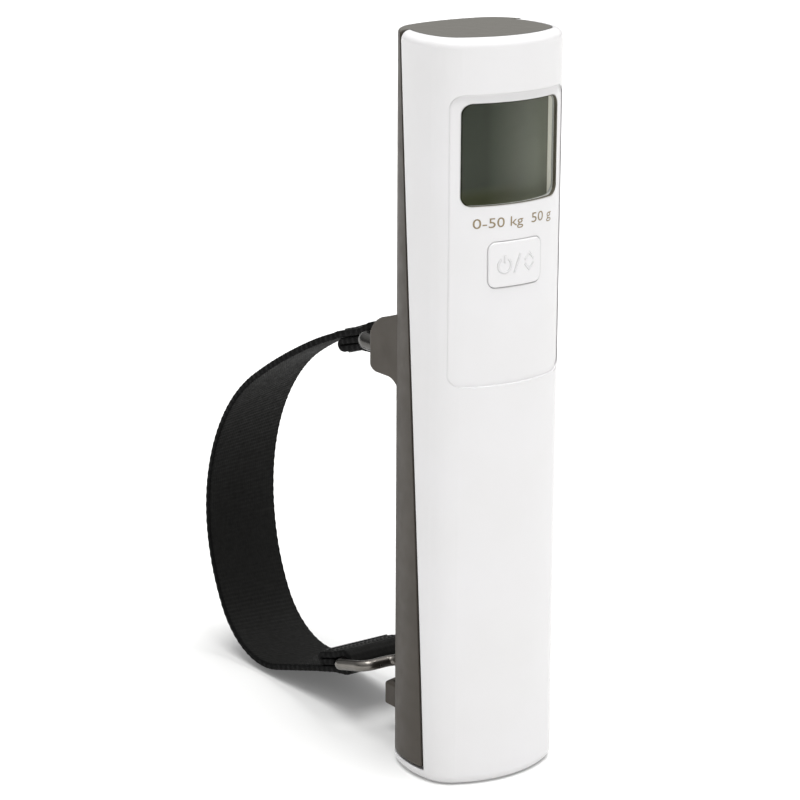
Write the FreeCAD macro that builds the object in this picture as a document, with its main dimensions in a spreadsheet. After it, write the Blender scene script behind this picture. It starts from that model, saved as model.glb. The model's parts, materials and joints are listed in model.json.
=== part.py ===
import FreeCAD, Part
import Sketcher

import math
import os

# Digital luggage scale: an upright handle with a display and a button on its front (-Y), and a load
# cell inside that carries a steel ring, a webbing strap and a wire hook on its back (+Y).
# Millimetres. +Z runs along the handle, and the origin is the middle of its flat bottom end.

Vector = FreeCAD.Vector
doc = FreeCAD.newDocument("LuggageScale")

# ---------------------------------------------------------------- driving dimensions

DIMENSIONS = {
    # handle cross-section: four arcs with rounded corners
    "body_length": 160.0,
    "body_half_width": 16.8,
    "front_depth": 11.75,
    "back_depth": 15.75,
    "front_crown_radius": 25.0,
    "back_crown_radius": 41.5,
    "side_radius": 21.3,
    "side_centre_y": 1.5,
    "front_corner_radius": 8.0,
    "back_corner_radius": 9.6,
    "wall": 2.2,
    "shell_gap": 0.65,
    "plate_gap": 0.25,
    "bottom_round": 2.0,
    "rim_round": 2.0,
    "back_top_round": 0.8,
    "bottom_lip": 2.4,
    "top_plate": 2.0,
    # parting line on the sides, as Y at three heights
    "parting_y_bottom": -2.6,
    "parting_y_middle": 1.9,
    "parting_y_top": 7.9,
    "parting_middle_height": 84.0,
    # recessed display panel
    "panel_half_width": 14.3,
    "panel_low": 88.1,
    "panel_high": 148.7,
    "panel_corner": 2.6,
    "panel_radius": 26.0,
    "panel_centre_y": 14.95,
    "face_rise": 0.25,
    # display window, display and its frame
    "window_half_width": 12.25,
    "window_low": 125.8,
    "window_high": 146.9,
    "window_corner": 2.2,
    "window_clearance": 0.08,
    "window_round": 0.4,
    "window_thickness": 1.1,
    "display_half_width": 12.3,
    "display_low": 124.4,
    "display_high": 148.4,
    "display_front_y": -5.0,
    "display_thickness": 2.2,
    "frame_border": 0.75,
    "frame_rise": 1.3,
    "frame_clearance": 0.1,
    "strip_low": 125.4,
    "strip_high": 127.2,
    "strip_half_width": 11.0,
    # button
    "button_half_width": 6.8,
    "button_low": 108.6,
    "button_high": 118.3,
    "button_corner": 1.8,
    "button_clearance": 0.1,
    "button_round": 0.35,
    "button_flange_y": -8.1,
    "plunger_radius": 1.65,
    "plunger_front_y": -6.1,
    "switch_half_width": 3.0,
    # circuit board
    "board_half_width": 12.6,
    "board_low": 80.0,
    "board_high": 149.0,
    "board_front_y": -1.6,
    "board_thickness": 1.2,
    # load cell beam and hanger
    "load_height": 91.0,
    "beam_half_length": 23.0,
    "beam_half_width": 6.0,
    "beam_front_y": 3.2,
    "beam_back_y": 8.0,
    "beam_screw_offset": 18.0,
    "beam_flex_offset": 10.0,
    "beam_flex_radius": 1.8,
    "hanger_half_height": 6.2,
    "hanger_back_y": 14.0,
    "hanger_screw_offset": 4.2,
    # steel ring
    "ring_wire_radius": 1.8,
    "ring_half_width": 12.4,
    "ring_inner_y": 10.8,
    "ring_outer_y": 26.4,
    "ring_corner": 2.3,
    "pivot_clearance": 0.05,
    # boss on the back
    "boss_half_width": 15.2,
    "boss_end_y": 20.3,
    "boss_low": 86.3,
    "boss_high": 99.2,
    "boss_corner": 1.2,
    "boss_low_round": 3.2,
    "boss_high_round": 5.2,
    "boss_high_drop": 8.0,
    "boss_root_y": 8.8,
    "slot_half_width": 14.35,
    "slot_low": 89.1,
    "slot_high": 94.9,
    # catch for the hook
    "catch_half_width": 7.0,
    "catch_low": 6.7,
    "catch_high": 11.9,
    "catch_end_y": 25.4,
    "catch_bulge": 1.2,
    "catch_slot_half_width": 5.4,
    "catch_corner": 0.9,
    "catch_round": 0.5,
    # webbing strap: three arcs, then a straight into the hook's hem
    "strap_width": 20.0,
    "strap_thickness": 1.6,
    "hem_thickness": 4.8,
    "hem_slope": 16.0,
    "ring_hem_length": 12.0,
    "hook_hem_length": 9.5,
    "lead_arc": 137.0,
    "lead_turn": 15.7,
    "outer_arc": 45.4,
    "outer_turn": 89.2,
    "lower_arc": 20.4,
    "end_run": 19.6,
    "end_slope": 17.9,
    # wire hook
    "hook_wire_radius": 1.25,
    "hook_half_width": 11.5,
    "hook_reach": 11.0,
    "tongue_half_width": 3.9,
    "tongue_length": 7.6,
    "tip_height": 13.65,
    "hook_slope": 14.8,
    # battery and its cap
    "cell_height": 128.0,
    "cell_radius": 10.0,
    "cell_thickness": 3.2,
    "cell_front_y": 8.45,
    "bay_radius": 10.35,
    "bay_floor_y": 8.2,
    "bay_outer_radius": 12.4,
    "cap_radius": 11.5,
    "cap_opening_radius": 11.6,
    "cap_inner_y": 11.8,
    "cap_face_y": 13.7,
    "land_radius": 12.6,
    # case screws
    "case_screw_x": 8.0,
    "case_screw_top": 152.4,
    "case_screw_bottom": 22.0,
    "case_joint_y": 6.0,
    "case_seat_y": 12.0,
    "pillar_radius": 2.5,
    "screw_radius": 1.0,
    "screw_hole_radius": 1.35,
    "screw_head_radius": 2.1,
    "screw_head_height": 1.4,
    # circuit board posts
    "post_x": 10.4,
    "post_low": 84.0,
    "post_high": 119.5,
    "post_radius": 1.6,
    "pin_radius": 0.7,
}

sheet = doc.addObject("Spreadsheet::Sheet", "Dims")
for row, (alias, value) in enumerate(DIMENSIONS.items(), start=1):
    sheet.set(f"A{row}", alias)
    sheet.set(f"B{row}", str(value))
    sheet.setAlias(f"B{row}", alias)
doc.recompute()


def dim(alias):
    """A driving dimension's value, read from the sheet."""
    return float(getattr(sheet, alias))


def terms(expression):
    """An expression with each driving dimension's name sent to the sheet."""
    words = str(expression).split()
    return " ".join("Dims." + word if word in DIMENSIONS else word for word in words)


def bind(item, prop, expression):
    item.setExpression(prop, terms(expression))


# ---------------------------------------------------------------- building blocks

TURN_TO = {
    "x": FreeCAD.Rotation(Vector(0, 1, 0), 90),
    "y": FreeCAD.Rotation(Vector(1, 0, 0), -90),
    "z": FreeCAD.Rotation(),
}
ACROSS_X = FreeCAD.Rotation(Vector(1, 1, 1), 120)


def place(item, x, y, z):
    bind(item, "Placement.Base.x", x)
    bind(item, "Placement.Base.y", y)
    bind(item, "Placement.Base.z", z)


def box(name, x_low, x_high, y_low, y_high, z_low, z_high):
    """A block between six planes."""
    item = doc.addObject("Part::Box", name)
    bind(item, "Length", f"( {x_high} ) - ( {x_low} )")
    bind(item, "Width", f"( {y_high} ) - ( {y_low} )")
    bind(item, "Height", f"( {z_high} ) - ( {z_low} )")
    place(item, x_low, y_low, z_low)
    return item


def slab(name, half_width, y_low, y_high, z_low, z_high):
    """A block that is symmetric about X = 0."""
    return box(name, f"- ( {half_width} )", half_width, y_low, y_high, z_low, z_high)


def rod(name, axis, radius, length, x, y, z):
    """A cylinder that starts at a point and runs along an axis."""
    item = doc.addObject("Part::Cylinder", name)
    item.Placement = FreeCAD.Placement(Vector(), TURN_TO[axis])
    bind(item, "Radius", radius)
    bind(item, "Height", length)
    place(item, x, y, z)
    return item


def join(name, pieces):
    item = doc.addObject("Part::MultiFuse", name)
    item.Shapes = pieces
    item.Refine = True
    return item


def meet(name, pieces):
    item = doc.addObject("Part::MultiCommon", name)
    item.Shapes = pieces
    return item


def cut(name, base, tools):
    tool = tools[0] if len(tools) == 1 else join(name + "_tools", tools)
    item = doc.addObject("Part::Cut", name)
    item.Base = base
    item.Tool = tool
    item.Refine = True
    return item


def rounded(name, base, radius_of):
    """Fillet the edges for which radius_of(edge) gives a radius."""
    doc.recompute()
    picked = [(index, radius_of(edge)) for index, edge in enumerate(base.Shape.Edges, start=1)]
    picked = [(index, radius, radius) for index, radius in picked if radius]
    item = doc.addObject("Part::Fillet", name)
    item.Base = base
    item.Edges = picked
    base.Visibility = False
    return item


def runs_along(edge, axis):
    if not isinstance(edge.Curve, Part.Line):
        return False
    return abs(abs(edge.Curve.Direction.dot(axis)) - 1) < 1e-6


def rounded_block(name, half_width, z_low, z_high, y_low, y_high, corner):
    """A block whose four edges along Y are rounded."""
    block = slab(name + "_block", half_width, y_low, y_high, z_low, z_high)
    return rounded(name, block, lambda edge: corner if runs_along(edge, Vector(0, 1, 0)) else 0)


def oval(name, inset, z_low, z_high):
    """The handle's cross-section, moved inwards by inset, as a solid between two heights."""
    height = f"( {z_high} ) - ( {z_low} )"
    side_shift = "side_radius - body_half_width"
    discs = [
        ("front", "front_crown_radius", "0", "front_crown_radius - front_depth"),
        ("back", "back_crown_radius", "0", "back_depth - back_crown_radius"),
        ("left", "side_radius", side_shift, "side_centre_y"),
        ("right", "side_radius", f"- ( {side_shift} )", "side_centre_y"),
    ]
    pieces = [
        rod(f"{name}_{side}", "z", f"{radius} - {inset}", height, x, y, z_low)
        for side, radius, x, y in discs
    ]
    prism = meet(name + "_prism", pieces)

    def corner(edge):
        if not runs_along(edge, Vector(0, 0, 1)):
            return 0
        at_front = edge.CenterOfMass.y < dim("side_centre_y")
        radius = dim("front_corner_radius") if at_front else dim("back_corner_radius")
        return radius - inset

    return rounded(name, prism, corner)


def sketch(name, turn, x, y, z, curves):
    """A closed outline in a plane through a point, in the plane's own coordinates."""
    item = doc.addObject("Sketcher::SketchObject", name)
    item.Placement = FreeCAD.Placement(Vector(x, y, z), turn)
    item.addGeometry(curves, False)
    return item


def extrusion(name, outline, length, symmetric=False):
    item = doc.addObject("Part::Extrusion", name)
    item.Base = outline
    item.DirMode = "Normal"
    item.Solid = True
    item.Symmetric = symmetric
    bind(item, "LengthFwd", length)
    return item


def outline(points):
    """Straight lines round a list of points; a point with a third value is the middle of an arc."""
    corners = [point for point in points if len(point) == 2]
    curves = []
    for index, point in enumerate(points):
        if len(point) == 3:
            continue
        after = points[(index + 1) % len(points)]
        start = Vector(point[0], point[1], 0)
        if len(after) == 3:
            end = points[(index + 2) % len(points)]
            middle = Vector(after[0], after[1], 0)
            curves.append(Part.ArcOfCircle(start, middle, Vector(end[0], end[1], 0)))
        else:
            curves.append(Part.LineSegment(start, Vector(after[0], after[1], 0)))
    assert len(curves) == len(corners)
    return curves


def rounded_path(points, radii):
    """A wire of straight runs with an arc at each inner point."""
    edges = []
    start = points[0]
    for before, point, after, radius in zip(points, points[1:], points[2:], radii):
        into = (point - before).normalize()
        out = (after - point).normalize()
        setback = radius * math.tan(into.getAngle(out) / 2)
        arc_start = point - into * setback
        arc_end = point + out * setback
        inward = (out - into).normalize()
        centre = point + inward * (radius / math.cos(into.getAngle(out) / 2))
        arc_middle = centre - inward * radius
        edges.append(Part.LineSegment(start, arc_start).toShape())
        edges.append(Part.ArcOfCircle(arc_start, arc_middle, arc_end).toShape())
        start = arc_end
    edges.append(Part.LineSegment(start, points[-1]).toShape())
    return Part.Wire(edges)


def wire_solid(path, radius):
    """A round wire that follows a path."""
    first = path.Edges[0]
    start = first.valueAt(first.FirstParameter)
    circle = Part.Wire(Part.Circle(start, first.tangentAt(first.FirstParameter), radius).toShape())
    return path.makePipeShell([circle], True, False, 0)


def shaped(name, shape):
    """A sub-part whose solid is made directly."""
    item = doc.addObject("Part::Feature", name)
    item.Shape = shape
    item.Placement = FreeCAD.Placement()
    return item


PARTS = []


def finish(node, item):
    """Give a finished sub-part its own name."""
    item.Label = node
    PARTS.append((node, item))
    return item


# ---------------------------------------------------------------- the two shells' common shapes


def parting_circle():
    """Centre and radius, in the YZ plane, of the arc that the parting line follows."""
    low = Vector(dim("parting_y_bottom"), 0, 0)
    middle = Vector(dim("parting_y_middle"), dim("parting_middle_height"), 0)
    high = Vector(dim("parting_y_top"), dim("body_length"), 0)
    arc = Part.ArcOfCircle(low, middle, high)
    return arc.Center, arc.Radius


PARTING_CENTRE, PARTING_RADIUS = parting_circle()


def parting_y(height):
    side = -1 if PARTING_CENTRE.x > 0 else 1
    rise = height - PARTING_CENTRE.y
    return PARTING_CENTRE.x + side * math.sqrt(PARTING_RADIUS**2 - rise**2)


def zone(name, far_y, shift, z_low):
    """Everything on one side of the parting surface, from a height to above the top."""
    z_high = dim("body_length") + 1
    z_middle = (z_low + z_high) / 2
    points = [
        (far_y, z_low),
        (parting_y(z_low) + shift, z_low),
        (parting_y(z_middle) + shift, z_middle, "arc"),
        (parting_y(z_high) + shift, z_high),
        (far_y, z_high),
    ]
    return extrusion(name, sketch(name + "_outline", ACROSS_X, 0, 0, 0, outline(points)), "60", True)


def end_rounding(bottom, top):
    """Radii for the edges round the handle's two ends."""

    def radius(edge):
        height = edge.CenterOfMass.z
        if runs_along(edge, Vector(0, 0, 1)):
            return 0
        if height < 0.01:
            return bottom
        return top if height > dim("body_length") - 0.01 else 0

    return radius


WALL = dim("wall")
GAP = dim("shell_gap")
blank = oval("blank", 0, "0", "body_length")
front_envelope = rounded("front_envelope", blank, end_rounding(dim("bottom_round"), dim("rim_round")))
back_envelope = rounded("back_envelope", blank, end_rounding(0, dim("back_top_round")))

# ---------------------------------------------------------------- front shell

front_zone = zone("front_zone", -40, 0, -1)
front_half = meet("front_half", [front_envelope, front_zone])
cap_slice = slab("bottom_slice", "30", "-30", "30", "-1", "bottom_lip")
bottom_cap = meet("bottom_cap", [front_envelope, cap_slice])
front_outer = join("front_outer", [front_half, bottom_cap])
front_cavity = oval("front_cavity", WALL, "bottom_lip", "body_length + 2")
front_hollow = cut("front_hollow", front_outer, [front_cavity])


def screw_columns(name, radius, y_low, y_high):
    """Four cylinders along Y where the case screws go."""
    pieces = []
    for level in ("case_screw_top", "case_screw_bottom"):
        for side in ("-", ""):
            tag = f"{name}_{level[11:]}_{'left' if side else 'right'}"
            length = f"{y_high} - ( {y_low} )"
            pieces.append(rod(tag, "y", radius, length, f"{side} case_screw_x", y_low, level))
    return pieces


BOARD_POSTS = [(side, level) for level in ("post_low", "post_high") for side in ("-", "")]


def board_rods(name, radius, y_low, y_high):
    length = f"( {y_high} ) - ( {y_low} )"
    return [
        rod(f"{name}_{number}", "y", radius, length, f"{side} post_x", y_low, level)
        for number, (side, level) in enumerate(BOARD_POSTS, start=1)
    ]


front_solid = join(
    "front_solid",
    [front_hollow]
    + screw_columns("front_pillar", "pillar_radius", "-9", "case_joint_y")
    + board_rods("board_post", "post_radius", "-7.6", "board_front_y"),
)
panel_block = rounded_block(
    "panel_block", "panel_half_width", "panel_low", "panel_high", "-20", "0", dim("panel_corner")
)


def face_cylinder(name, rise):
    """A tall cylinder whose front is the panel's floor, raised by some distance."""
    return rod(name, "z", f"panel_radius + {rise}", "body_length", "0", "panel_centre_y", "0")


def round_front_edges(name, base, rise, fillet):
    """Fillet the edges that lie on a raised face cylinder."""
    centre = Vector(0, dim("panel_centre_y"), 0)
    face_radius = dim("panel_radius") + rise

    def radius(edge):
        middle = (edge.FirstParameter + edge.LastParameter) / 2
        for position in (edge.FirstParameter, middle, edge.LastParameter):
            point = edge.valueAt(position)
            reach = (Vector(point.x, point.y, 0) - centre).Length
            if abs(reach - face_radius) > 0.001:
                return 0
        return fillet

    return rounded(name, base, radius)


panel_tool = cut("panel_tool", panel_block, [face_cylinder("panel_core", "0")])
window_opening = rounded_block(
    "window_opening", "window_half_width", "window_low", "window_high", "-20", "-4", dim("window_corner")
)
button_opening = rounded_block(
    "button_opening", "button_half_width", "button_low", "button_high", "-20", "-4", dim("button_corner")
)
display_pocket = slab(
    "display_pocket",
    "display_half_width + frame_border + frame_clearance",
    "display_front_y - frame_rise - frame_clearance",
    "2",
    "display_low - frame_border - frame_clearance",
    "display_high + frame_border + frame_clearance",
)
finish(
    "front_shell",
    cut(
        "front_shell_body",
        front_solid,
        [panel_tool, window_opening, button_opening, display_pocket]
        + screw_columns("front_pilot", "screw_radius", "1", "case_joint_y + 1")
        + board_rods("board_pilot", "pin_radius", "-6", "board_front_y + 1"),
    ),
)

# ---------------------------------------------------------------- back shell

back_zone = zone("back_zone", 40, GAP, dim("bottom_lip") + GAP)
back_half = meet("back_half", [back_envelope, back_zone])
back_cavity = oval("back_cavity", WALL, "-1", "body_length - top_plate")
back_hollow = cut("back_hollow", back_half, [back_cavity])
plate_oval = oval("plate_oval", WALL + dim("plate_gap"), "body_length - top_plate", "body_length")

END_Y = dim("boss_end_y")
LOW = dim("boss_low")
HIGH = dim("boss_high")


def boss_outline():
    """Side view of the boss: flared root below, square lower corner, long round above."""
    low_round = dim("boss_low_round")
    high_round = dim("boss_high_round")
    high_drop = dim("boss_high_drop")
    root_y = dim("boss_root_y")
    half = math.sqrt(0.5)
    return [
        (root_y, LOW - 3.0),
        (root_y + 1.7, LOW - 0.8, "arc"),
        (root_y + 4.6, LOW),
        (END_Y - low_round, LOW),
        (END_Y - low_round * (1 - half), LOW + low_round * (1 - half), "arc"),
        (END_Y, LOW + low_round),
        (END_Y, HIGH - high_drop),
        (END_Y - 1.5, HIGH - 3.4, "arc"),
        (END_Y - high_round, HIGH - 0.5),
        (END_Y - high_round - 2.8, HIGH + 0.2, "arc"),
        (root_y, HIGH + 1.6),
    ]


boss_side_view = sketch("boss_outline", ACROSS_X, 0, 0, 0, outline(boss_outline()))
boss_prism = extrusion("boss_prism", boss_side_view, "2 * boss_half_width", True)
boss_plan_block = slab("boss_plan_block", "boss_half_width", "8", "boss_end_y", "70", "110")


def boss_corner(edge):
    at_end = edge.CenterOfMass.y > END_Y - 0.01
    return dim("boss_corner") if at_end and runs_along(edge, Vector(0, 0, 1)) else 0


boss = meet("boss", [boss_prism, rounded("boss_plan", boss_plan_block, boss_corner)])
catch_points = [
    (-dim("catch_half_width"), 13.2),
    (-dim("catch_half_width"), dim("catch_end_y")),
    (0, dim("catch_end_y") + dim("catch_bulge"), "arc"),
    (dim("catch_half_width"), dim("catch_end_y")),
    (dim("catch_half_width"), 13.2),
]
catch_prism = extrusion(
    "catch_prism",
    sketch("catch_outline", FreeCAD.Rotation(), 0, 0, dim("catch_low"), outline(catch_points)),
    "catch_high - catch_low",
)


def catch_edge(edge):
    centre = edge.CenterOfMass
    if centre.y < 15:
        return 0
    return dim("catch_corner") if runs_along(edge, Vector(0, 0, 1)) else dim("catch_round")


catch = rounded("catch", catch_prism, catch_edge)
bay_cup = rod("bay_cup", "y", "bay_outer_radius", "5.8", "0", "bay_floor_y - 1.2", "cell_height")


def beam_rods(name, radius, length, y, offset="beam_screw_offset"):
    return [
        rod(f"{name}_upper", "y", radius, length, "0", y, f"load_height + {offset}"),
        rod(f"{name}_lower", "y", radius, length, "0", y, f"load_height - {offset}"),
    ]


back_solid = join(
    "back_solid",
    [back_hollow, plate_oval, boss, catch, bay_cup]
    + screw_columns("back_pillar", "pillar_radius", "case_joint_y", "13")
    + beam_rods("beam_pillar", "3.4", "6", "beam_back_y"),
)
ring_slot = slab("ring_slot", "slot_half_width", "ring_inner_y - 2.2", "30", "slot_low", "slot_high")
hanger_pocket = slab(
    "hanger_pocket",
    "beam_half_width + 0.6",
    "3",
    "hanger_back_y + 0.5",
    "load_height - hanger_half_height - 0.3",
    "load_height + hanger_half_height + 0.3",
)
catch_slot = slab(
    "catch_slot", "catch_slot_half_width", "16.5", "catch_end_y - 1.0", "3", "catch_high + 1"
)
land = rod("cap_land", "y", "land_radius", "5", "0", "cap_face_y", "cell_height")
cap_opening = rod("cap_opening", "y", "cap_opening_radius", "6", "0", "cap_inner_y", "cell_height")
bay_hole = rod("bay_hole", "y", "bay_radius", "6", "0", "bay_floor_y", "cell_height")


def lug_ring(name, radius, y_low, y_high):
    """A disc between the cap and its groove, trimmed to its upper and lower thirds."""
    disc = rod(name + "_disc", "y", radius, f"{y_high} - {y_low}", "0", y_low, "cell_height")
    trim = slab(name + "_trim", "9.6", y_low, y_high, "cell_height - 15", "cell_height + 15")
    return meet(name, [disc, trim])


groove = lug_ring("cap_groove", "12.75", "cap_inner_y", "cap_inner_y + 0.9")


def lug_notch(name, half_width, reach, angle):
    """Where the cap's lugs drop in: a bar across the cap's axis, turned about it."""
    bar = doc.addObject("Part::Box", name)
    turn = FreeCAD.Rotation(Vector(0, 1, 0), angle)
    bar.Length = 2 * half_width
    bar.Width = 8
    bar.Height = 2 * reach
    corner = turn.multVec(Vector(-half_width, 0, -reach))
    bar.Placement = FreeCAD.Placement(corner, turn)
    bind(bar, "Placement.Base.y", "cap_inner_y")
    bind(bar, "Placement.Base.z", f"cell_height + {corner.z:.4f}")
    return bar


notch = lug_notch("cap_notch", 1.9, 12.75, 40)
minus_slot = slab("minus_slot", "1.7", "5", "9", "cell_height - 9.6", "cell_height - 8.9")
plus_slot = slab("plus_slot", "3.2", "5", "cap_inner_y", "cell_height + 9.3", "cell_height + 10.5")
finish(
    "back_shell",
    cut(
        "back_shell_body",
        back_solid,
        [ring_slot, hanger_pocket, catch_slot, land, cap_opening, bay_hole, groove, notch]
        + [minus_slot, plus_slot]
        + screw_columns("screw_hole", "screw_hole_radius", "case_joint_y - 1", "14")
        + screw_columns("screw_head_hole", "screw_head_radius + 0.2", "case_seat_y", "20")
        + beam_rods("beam_pilot", "1.6", "4.6", "beam_back_y - 0.1"),
    ),
)

# ---------------------------------------------------------------- display and button

window_block = rounded_block(
    "window_block",
    "window_half_width - window_clearance",
    "window_low + window_clearance",
    "window_high - window_clearance",
    "-20",
    "-4",
    dim("window_corner"),
)
window_outer = meet("window_outer", [window_block, face_cylinder("window_skin", "face_rise")])
window_rounded = round_front_edges(
    "window_rounded", window_outer, dim("face_rise"), dim("window_round")
)
window_core = face_cylinder("window_core", "face_rise - window_thickness")
finish("display_window", cut("display_window_body", window_rounded, [window_core]))

finish(
    "lcd_panel",
    slab(
        "lcd_panel_body",
        "display_half_width",
        "display_front_y",
        "display_front_y + display_thickness",
        "display_low",
        "display_high",
    ),
)
frame_block = slab(
    "frame_block",
    "display_half_width + frame_border",
    "display_front_y - frame_rise",
    "board_front_y",
    "display_low - frame_border",
    "display_high + frame_border",
)
frame_seat = slab(
    "frame_seat",
    "display_half_width + 0.05",
    "display_front_y - frame_rise - 1",
    "display_front_y + display_thickness",
    "display_low - 0.05",
    "display_high + 0.05",
)
frame_hole = slab(
    "frame_hole",
    "display_half_width - 1.2",
    "display_front_y",
    "0",
    "display_low + 4",
    "display_high - 1.2",
)
strip_slot = slab(
    "strip_slot", "strip_half_width + 0.1", "display_front_y", "0", "strip_low - 0.1", "strip_high + 0.1"
)
finish("lcd_frame", cut("lcd_frame_body", frame_block, [frame_seat, frame_hole, strip_slot]))
finish(
    "contact_strip",
    slab(
        "contact_strip_body",
        "strip_half_width",
        "display_front_y + display_thickness",
        "board_front_y",
        "strip_low",
        "strip_high",
    ),
)

BUTTON_HEIGHT = "( button_low + button_high ) / 2"
button_block = rounded_block(
    "button_block",
    "button_half_width - button_clearance",
    "button_low + button_clearance",
    "button_high - button_clearance",
    "-20",
    "button_flange_y + 0.4",
    dim("button_corner") - dim("button_clearance"),
)
button_sharp = meet("button_sharp", [button_block, face_cylinder("button_skin", "face_rise")])
button_face = round_front_edges("button_face", button_sharp, dim("face_rise"), dim("button_round"))
button_flange = slab(
    "button_flange",
    "button_half_width + 0.8",
    "button_flange_y",
    "button_flange_y + 1.1",
    "button_low - 0.8",
    "button_high + 0.8",
)
button_stem = rod(
    "button_stem",
    "y",
    "plunger_radius",
    "plunger_front_y - button_flange_y - 1",
    "0",
    "button_flange_y + 1",
    BUTTON_HEIGHT,
)
finish("button_cap", join("button_cap_body", [button_face, button_flange, button_stem]))
finish(
    "switch_plunger",
    rod("plunger", "y", "plunger_radius", "1.5", "0", "plunger_front_y", BUTTON_HEIGHT),
)
switch_block = slab(
    "switch_block",
    "switch_half_width",
    "plunger_front_y + 1",
    "board_front_y",
    f"{BUTTON_HEIGHT} - switch_half_width",
    f"{BUTTON_HEIGHT} + switch_half_width",
)
switch_hole = rod(
    "switch_hole",
    "y",
    "plunger_radius + pivot_clearance",
    "2.6",
    "0",
    "plunger_front_y + 0.4",
    BUTTON_HEIGHT,
)
finish("tact_switch", cut("tact_switch_body", switch_block, [switch_hole]))

# ---------------------------------------------------------------- circuit board


def circuit_board():
    """The board as a sketched rectangle, padded, with its screw holes pocketed."""
    body = doc.addObject("PartDesign::Body", "CircuitBoardBody")
    plane = next(item for item in body.Origin.OriginFeatures if item.Role == "XZ_Plane")
    rectangle = body.newObject("Sketcher::SketchObject", "BoardOutline")
    rectangle.AttachmentSupport = [(plane, "")]
    rectangle.MapMode = "FlatFace"
    half = dim("board_half_width")
    low = dim("board_low")
    high = dim("board_high")
    rectangle.addGeometry(outline([(-half, low), (half, low), (half, high), (-half, high)]), False)
    for index in range(4):
        rectangle.addConstraint(Sketcher.Constraint("Coincident", index, 2, (index + 1) % 4, 1))
    for index in (0, 2):
        rectangle.addConstraint(Sketcher.Constraint("Horizontal", index))
    for index in (1, 3):
        rectangle.addConstraint(Sketcher.Constraint("Vertical", index))
    sizes = [
        ("DistanceX", 0, 1, "0 - board_half_width"),
        ("DistanceY", 0, 1, "board_low"),
        ("DistanceX", 1, 2, "board_half_width"),
        ("DistanceY", 1, 2, "board_high"),
    ]
    starts = [-half, low, half, high]
    for (kind, line, end, expression), value in zip(sizes, starts):
        number = rectangle.addConstraint(Sketcher.Constraint(kind, -1, 1, line, end, value))
        rectangle.setExpression(f"Constraints[{number}]", terms(expression))
    pad = body.newObject("PartDesign::Pad", "BoardPad")
    pad.Profile = rectangle
    bind(pad, "Length", "board_thickness")
    pad.Reversed = True
    doc.recompute()
    holes = body.newObject("Sketcher::SketchObject", "BoardHoles")
    holes.AttachmentSupport = [(plane, "")]
    holes.MapMode = "FlatFace"
    for side, level in BOARD_POSTS:
        centre = Vector(-dim("post_x") if side else dim("post_x"), dim(level), 0)
        holes.addGeometry(Part.Circle(centre, Vector(0, 0, 1), dim("pin_radius") + 0.25), False)
    pocket = body.newObject("PartDesign::Pocket", "BoardPocket")
    pocket.Profile = holes
    pocket.Type = "ThroughAll"
    pocket.Midplane = True
    body.Placement.Base = Vector(0, dim("board_front_y"), 0)
    bind(body, "Placement.Base.y", "board_front_y")
    return body


finish("circuit_board", circuit_board())

BOARD_BACK = "board_front_y + board_thickness"
CHIPS = [
    ("controller", -5.5, 1.5, 130.0, 137.0, 1.2),
    ("converter", -3.0, 2.0, 118.5, 122.5, 1.1),
    ("crystal", 5.0, 7.2, 128.0, 134.0, 1.5),
    ("regulator", 5.0, 8.0, 138.5, 141.5, 1.1),
    ("capacitor_a", -10.0, -8.8, 131.0, 133.0, 0.8),
    ("capacitor_b", -10.0, -8.8, 135.0, 137.0, 0.8),
    ("capacitor_c", -8.0, -6.0, 120.0, 121.2, 0.8),
    ("capacitor_d", 5.0, 7.0, 119.5, 120.7, 0.8),
]
finish(
    "board_components",
    join(
        "board_components_body",
        [
            box(name, x_low, x_high, BOARD_BACK, f"{BOARD_BACK} + {height}", z_low, z_high)
            for name, x_low, x_high, z_low, z_high, height in CHIPS
        ],
    ),
)
board_heads = board_rods("board_head", "1.5", BOARD_BACK, f"{BOARD_BACK} + 0.9")
board_shanks = board_rods("board_shank", "pin_radius", "board_front_y - 3.5", f"{BOARD_BACK} + 0.1")
finish("board_screws", join("board_screws_body", board_heads + board_shanks))

# ---------------------------------------------------------------- load cell

beam_bar = slab(
    "beam_bar",
    "beam_half_width",
    "beam_front_y",
    "beam_back_y",
    "load_height - beam_half_length",
    "load_height + beam_half_length",
)
MIDDLE_Y = "( beam_front_y + beam_back_y ) / 2"
flex_holes = [
    rod(f"flex_hole_{name}", "x", "beam_flex_radius", "16", "-8", MIDDLE_Y, f"load_height {offset}")
    for name, offset in (("upper", "+ beam_flex_offset"), ("lower", "- beam_flex_offset"))
]
finish(
    "load_cell_beam",
    cut(
        "load_cell_beam_body",
        beam_bar,
        flex_holes
        + beam_rods("beam_end_hole", "2.1", "8", "beam_front_y - 1")
        + beam_rods("beam_hanger_hole", "1.35", "8", "beam_front_y - 1", "hanger_screw_offset"),
    ),
)


def gauges(name, y_low, y_high):
    return [
        slab(
            f"{name}_{level}",
            "2",
            y_low,
            y_high,
            f"load_height {sign} beam_flex_offset - 2.5",
            f"load_height {sign} beam_flex_offset + 2.5",
        )
        for level, sign in (("upper", "+"), ("lower", "-"))
    ]


front_gauges = gauges("front_gauge", "beam_front_y - 0.15", "beam_front_y")
back_gauges = gauges("back_gauge", "beam_back_y", "beam_back_y + 0.15")
finish("strain_gauges", join("strain_gauges_body", front_gauges + back_gauges))

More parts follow.
